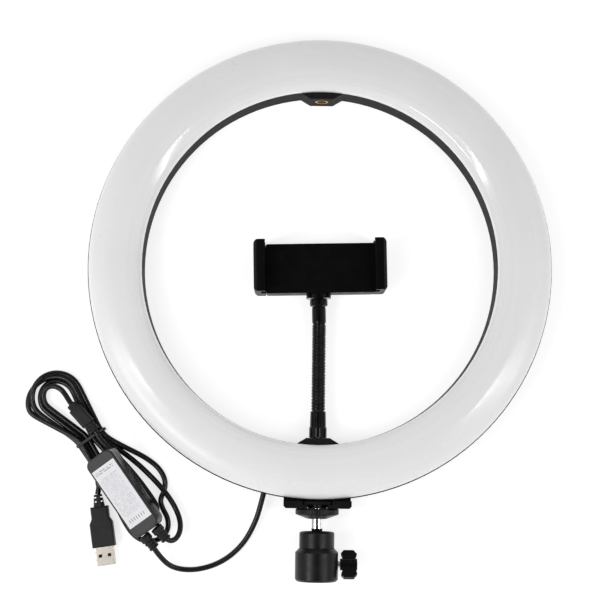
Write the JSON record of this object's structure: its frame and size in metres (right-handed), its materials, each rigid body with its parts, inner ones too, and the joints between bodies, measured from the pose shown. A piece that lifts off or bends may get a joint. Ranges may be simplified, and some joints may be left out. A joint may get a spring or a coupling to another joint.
{
  "type": "ring light",
  "caption": "USB ring light with an opal front, a spring phone clamp on a gooseneck, a small ball head on a cold shoe and a tied lead with an inline controller.",
  "frame": {"origin": "under the middle of the light, without its lead, on the surface that its back lies on", "axes": "+Z the way the light shines, +Y from the ball head to the top of the ring, +X to the right as seen from the front"},
  "size_m": [0.3415, 0.3508, 0.03],
  "materials": {
    "shell": "fine satin texture",
    "opal": "glossy opal",
    "board": "white solder mask",
    "chip": "phosphor",
    "screw_steel": "zinc plated",
    "brass": "turned",
    "block": "satin",
    "grommet": "matte",
    "head_black": "satin anodised",
    "chrome": "polished",
    "seat": "moulded acetal",
    "wing": "moulded",
    "steel": "turned",
    "neck_black": "satin black",
    "clamp_plastic": "satin",
    "pad": "matte",
    "spring": "drawn wire",
    "cord": "glossy PVC",
    "moulding": "satin PVC",
    "controller": "satin ABS",
    "controller_board": "solder mask",
    "button": "moulded",
    "label": "printed film",
    "tie": "coated wire",
    "usb_metal": "nickel plated",
    "tongue": "moulded"
  },
  "bodies": {
    "ring": {"rear_shell": "shell", "front_diffuser": "opal", "led_board": "board", "led_chips": "chip", "board_screws": "screw_steel", "shell_screws": "screw_steel", "upper_thread_insert": "brass", "lower_thread_insert": "brass", "cable_grommet": "grommet", "shoe_socket": "block", "socket_screws": "screw_steel", "ring_lead": "cord", "usb_lead": "cord", "plug_lead": "cord", "cord_hank": "cord", "controller_top_shell": "controller", "controller_bottom_shell": "controller", "controller_board": "controller_board", "controller_label": "label", "ring_lead_boot": "moulding", "usb_lead_boot": "moulding", "twist_tie": "tie", "inline_coupler": "moulding", "usb_strain_relief": "moulding", "usb_overmould": "moulding", "usb_shell": "usb_metal", "usb_tongue": "tongue"},
    "shoe": {"shoe_foot": "head_black"},
    "ball_stem": {"ball_stem": "chrome"},
    "lock_wheel": {"lock_wheel": "head_black"},
    "ball_head": {"socket_collar": "head_black", "ball_housing": "head_black", "ball_seat": "seat", "tripod_thread_insert": "brass"},
    "wing_screw": {"wing_screw_shaft": "steel", "wing_knob": "wing"},
    "neck_base": {"neck_lower_stud": "steel", "neck_lower_sleeve": "neck_black"},
    "neck_1": {"neck_section_1": "neck_black"},
    "neck_2": {"neck_section_2": "neck_black"},
    "neck_3": {"neck_section_3": "neck_black"},
    "neck_4": {"neck_section_4": "neck_black"},
    "neck_5": {"neck_section_5": "neck_black"},
    "neck_6": {"neck_section_6": "neck_black"},
    "neck_7": {"neck_section_7": "neck_black"},
    "neck_top": {"neck_upper_sleeve": "neck_black", "neck_upper_collar": "neck_black"},
    "clamp": {"clamp_foot": "neck_black", "clamp_body": "clamp_plastic", "clamp_back_cover": "clamp_plastic", "clamp_screws": "screw_steel", "fixed_jaw_pad": "pad", "jaw_spring": "spring"},
    "jaw": {"sliding_jaw": "clamp_plastic", "sliding_jaw_pad": "pad"},
    "button_1": {"push_button_1": "button"},
    "button_2": {"push_button_2": "button"},
    "button_3": {"push_button_3": "button"},
    "button_4": {"push_button_4": "button"}
  },
  "joints": [
    {"name": "shoe_slide", "type": "slide", "parent": "ring", "child": "shoe", "axis": [0, 0, 1], "range_m": [0, 0.022]},
    {"name": "lock_wheel_turn", "type": "hinge", "parent": "shoe", "child": "lock_wheel", "pos_m": [0, -0.13, 0.0144], "axis": [0, 1, 0], "range_deg": [0, 720]},
    {"name": "ball_pan", "type": "hinge", "parent": "shoe", "child": "ball_stem", "pos_m": [0, -0.1508, 0.0144], "axis": [0, 1, 0], "range_deg": [-180, 180]},
    {"name": "ball_tilt", "type": "hinge", "parent": "ball_stem", "child": "ball_head", "pos_m": [0, -0.1508, 0.0144], "axis": [1, 0, 0], "range_deg": [-30, 30]},
    {"name": "wing_screw_turn", "type": "hinge", "parent": "ball_head", "child": "wing_screw", "pos_m": [0.015, -0.1632, 0.0144], "axis": [1, 0, 0], "range_deg": [0, 360]},
    {"name": "neck_turn", "type": "hinge", "parent": "ring", "child": "neck_base", "pos_m": [0, -0.083, 0.0095], "axis": [0, 1, 0], "range_deg": [-180, 180]},
    {"name": "neck_bend_1", "type": "hinge", "parent": "neck_base", "child": "neck_1", "pos_m": [0, -0.0659, 0.0095], "axis": [1, 0, 0], "range_deg": [-9, 9]},
    {"name": "neck_bend_2", "type": "hinge", "parent": "neck_1", "child": "neck_2", "pos_m": [0, -0.05794, 0.0095], "axis": [0, 0, 1], "range_deg": [-9, 9]},
    {"name": "neck_bend_3", "type": "hinge", "parent": "neck_2", "child": "neck_3", "pos_m": [0, -0.04999, 0.0095], "axis": [1, 0, 0], "range_deg": [-9, 9]},
    {"name": "neck_bend_4", "type": "hinge", "parent": "neck_3", "child": "neck_4", "pos_m": [0, -0.04203, 0.0095], "axis": [0, 0, 1], "range_deg": [-9, 9]},
    {"name": "neck_bend_5", "type": "hinge", "parent": "neck_4", "child": "neck_5", "pos_m": [0, -0.03407, 0.0095], "axis": [1, 0, 0], "range_deg": [-9, 9]},
    {"name": "neck_bend_6", "type": "hinge", "parent": "neck_5", "child": "neck_6", "pos_m": [0, -0.02611, 0.0095], "axis": [0, 0, 1], "range_deg": [-9, 9]},
    {"name": "neck_bend_7", "type": "hinge", "parent": "neck_6", "child": "neck_7", "pos_m": [0, -0.01816, 0.0095], "axis": [1, 0, 0], "range_deg": [-9, 9]},
    {"name": "neck_bend_8", "type": "hinge", "parent": "neck_7", "child": "neck_top", "pos_m": [0, -0.0102, 0.0095], "axis": [0, 0, 1], "range_deg": [-9, 9]},
    {"name": "clamp_swivel", "type": "hinge", "parent": "neck_top", "child": "clamp", "pos_m": [-0.00051, 0.00799, 0.0095], "axis": [-0.0279, 0.9996, 0], "range_deg": [-180, 180]},
    {"name": "jaw_slide", "type": "slide", "parent": "clamp", "child": "jaw", "axis": [-0.9996, -0.0279, 0], "range_m": [0, 0.025], "stiffness_N_per_m": 150, "springref_m": -0.02, "deforming": ["jaw_spring"]},
    {"name": "button_1_press", "type": "slide", "parent": "ring", "child": "button_1", "axis": [-0.1822, -0.1319, 0.9744], "range_m": [0, 0.0008], "stiffness_N_per_m": 400, "springref_m": -0.0004},
    {"name": "button_2_press", "type": "slide", "parent": "ring", "child": "button_2", "axis": [-0.1822, -0.1319, 0.9744], "range_m": [0, 0.0008], "stiffness_N_per_m": 400, "springref_m": -0.0004},
    {"name": "button_3_press", "type": "slide", "parent": "ring", "child": "button_3", "axis": [-0.1822, -0.1319, 0.9744], "range_m": [0, 0.0008], "stiffness_N_per_m": 400, "springref_m": -0.0004},
    {"name": "button_4_press", "type": "slide", "parent": "ring", "child": "button_4", "axis": [-0.1822, -0.1319, 0.9744], "range_m": [0, 0.0008], "stiffness_N_per_m": 400, "springref_m": -0.0004}
  ]
}
